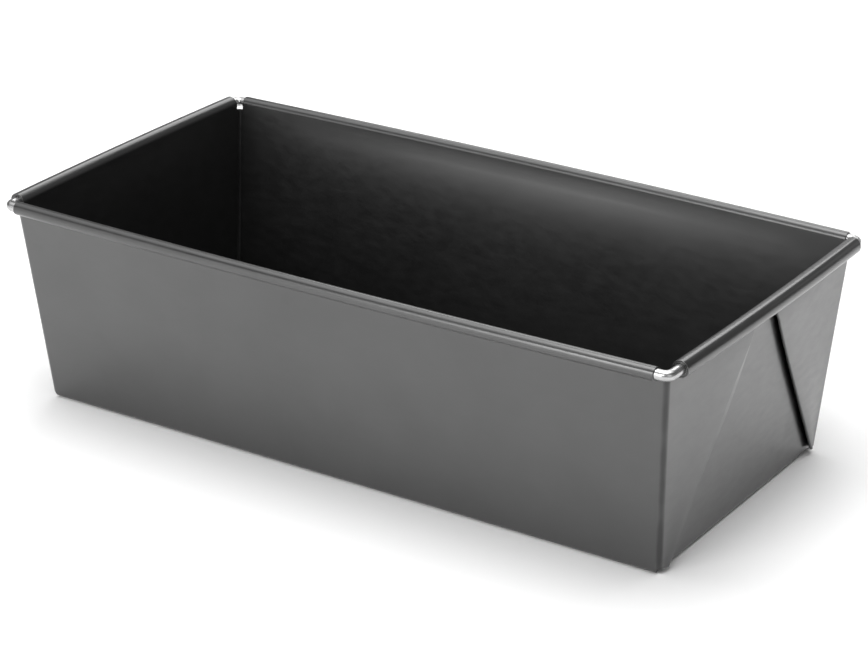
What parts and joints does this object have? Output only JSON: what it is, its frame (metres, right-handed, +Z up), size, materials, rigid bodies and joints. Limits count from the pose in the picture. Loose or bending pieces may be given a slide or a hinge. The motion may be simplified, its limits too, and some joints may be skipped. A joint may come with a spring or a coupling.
{
  "type": "loaf pan",
  "caption": "Rectangular loaf pan folded from one steel blank, with flared walls, folded corner ears on the ends and a rim rolled over a bare wire.",
  "frame": {"origin": "middle of the underside, on the surface that the pan stands on", "axes": "+X along the pan's length, +Y across it, +Z up"},
  "size_m": [0.2676, 0.1424, 0.078],
  "materials": {
    "coated_steel": "dark grey satin release coating with a metallic sheen on folded sheet steel",
    "steel_wire": "bright drawn steel wire, uncoated"
  },
  "bodies": {
    "root": {"folded_pan": "coated_steel", "rim_wire": "steel_wire"}
  },
  "joints": []
}
